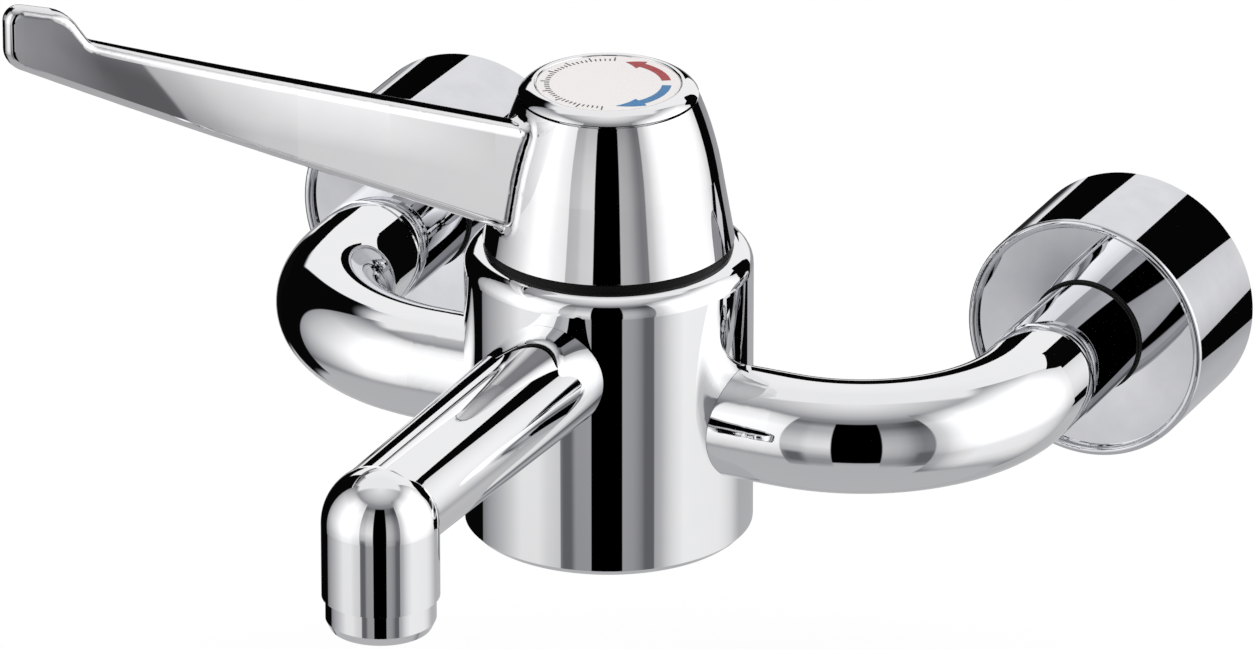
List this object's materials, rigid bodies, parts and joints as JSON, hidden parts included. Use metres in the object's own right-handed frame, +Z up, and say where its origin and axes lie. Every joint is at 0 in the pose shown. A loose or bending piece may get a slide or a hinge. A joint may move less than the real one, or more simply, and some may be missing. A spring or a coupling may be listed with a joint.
{
  "type": "thermostatic mixer tap",
  "caption": "Wall-hung thermostatic mixer tap with a long lever on a domed head, straight down-turned spout and two bent supply arms with round wall covers.",
  "frame": {"origin": "on the wall, midway between the two supplies, at the height of their axes", "axes": "+X to the right as one faces the wall, +Y into the wall, +Z up"},
  "size_m": [0.2012, 0.2109, 0.1334],
  "materials": {
    "chrome_body": "polished",
    "chrome_lever": "polished",
    "chrome_bezel": "polished",
    "chrome_arm": "polished",
    "chrome_sleeve": "polished",
    "chrome_shroud": "polished",
    "chrome_spout": "polished",
    "black_plastic": "satin",
    "black_rubber": "matt",
    "brass": "machined",
    "white_plastic": "satin",
    "red_plastic": "satin",
    "index_white": "gloss",
    "spring_steel": "drawn",
    "ceramic_grey": "satin",
    "copper": "machined"
  },
  "bodies": {
    "fixed": {"mixer_body": "chrome_body", "gap_ring": "black_plastic", "cartridge_housing": "brass", "cartridge_seals": "black_rubber", "cartridge_bonnet": "brass", "cartridge_nut": "brass", "stop_ring": "red_plastic", "nut_guide": "white_plastic", "return_spring": "spring_steel", "spout": "chrome_spout", "straightener_ring": "chrome_spout", "straightener_insert": "white_plastic", "straightener_washer": "black_rubber", "hot_inlet_arm": "chrome_arm", "cold_inlet_arm": "chrome_arm", "hot_inlet_sleeve": "chrome_sleeve", "cold_inlet_sleeve": "chrome_sleeve", "hot_union_tail": "brass", "cold_union_tail": "brass", "hot_union_nut": "brass", "cold_union_nut": "brass", "hot_union_washer": "black_rubber", "cold_union_washer": "black_rubber", "hot_shroud": "chrome_shroud", "cold_shroud": "chrome_shroud", "hot_shroud_ring": "black_rubber", "cold_shroud_ring": "black_rubber", "hot_strainer": "spring_steel", "cold_strainer": "spring_steel", "hot_check_housing": "white_plastic", "cold_check_housing": "white_plastic", "hot_check_spring": "spring_steel", "cold_check_spring": "spring_steel"},
    "lever": {"lever_handle": "chrome_lever", "handle_adapter": "white_plastic", "handle_screw": "spring_steel", "cap_bezel": "chrome_bezel", "index_disc": "index_white", "spindle": "brass", "spindle_seal": "black_rubber", "flow_drum": "ceramic_grey"},
    "thermostat": {"temperature_nut": "brass", "overtravel_plunger": "brass", "overtravel_spring": "spring_steel", "wax_element": "copper", "shuttle": "ceramic_grey"},
    "hot_check": {"hot_check_poppet": "ceramic_grey"},
    "cold_check": {"cold_check_poppet": "ceramic_grey"}
  },
  "joints": [
    {"name": "lever_turn", "type": "hinge", "parent": "fixed", "child": "lever", "pos_m": [0, -0.0941, 0], "axis": [0, 0, 1], "range_deg": [0, 120]},
    {"name": "thermostat_slide", "type": "slide", "parent": "fixed", "child": "thermostat", "axis": [0, 0, 1], "range_m": [0, 0.0019], "deforming": ["return_spring"]},
    {"name": "hot_check_slide", "type": "slide", "parent": "fixed", "child": "hot_check", "axis": [0, -1, 0], "range_m": [0, 0.0025], "stiffness_N_per_m": 150, "springref_m": -0.002, "deforming": ["hot_check_spring"]},
    {"name": "cold_check_slide", "type": "slide", "parent": "fixed", "child": "cold_check", "axis": [0, -1, 0], "range_m": [0, 0.0025], "stiffness_N_per_m": 150, "springref_m": -0.002, "deforming": ["cold_check_spring"]}
  ],
  "couplings": [
    {"joint": "thermostat_slide", "follows": "lever_turn", "m_per_rad": 0.0009}
  ]
}
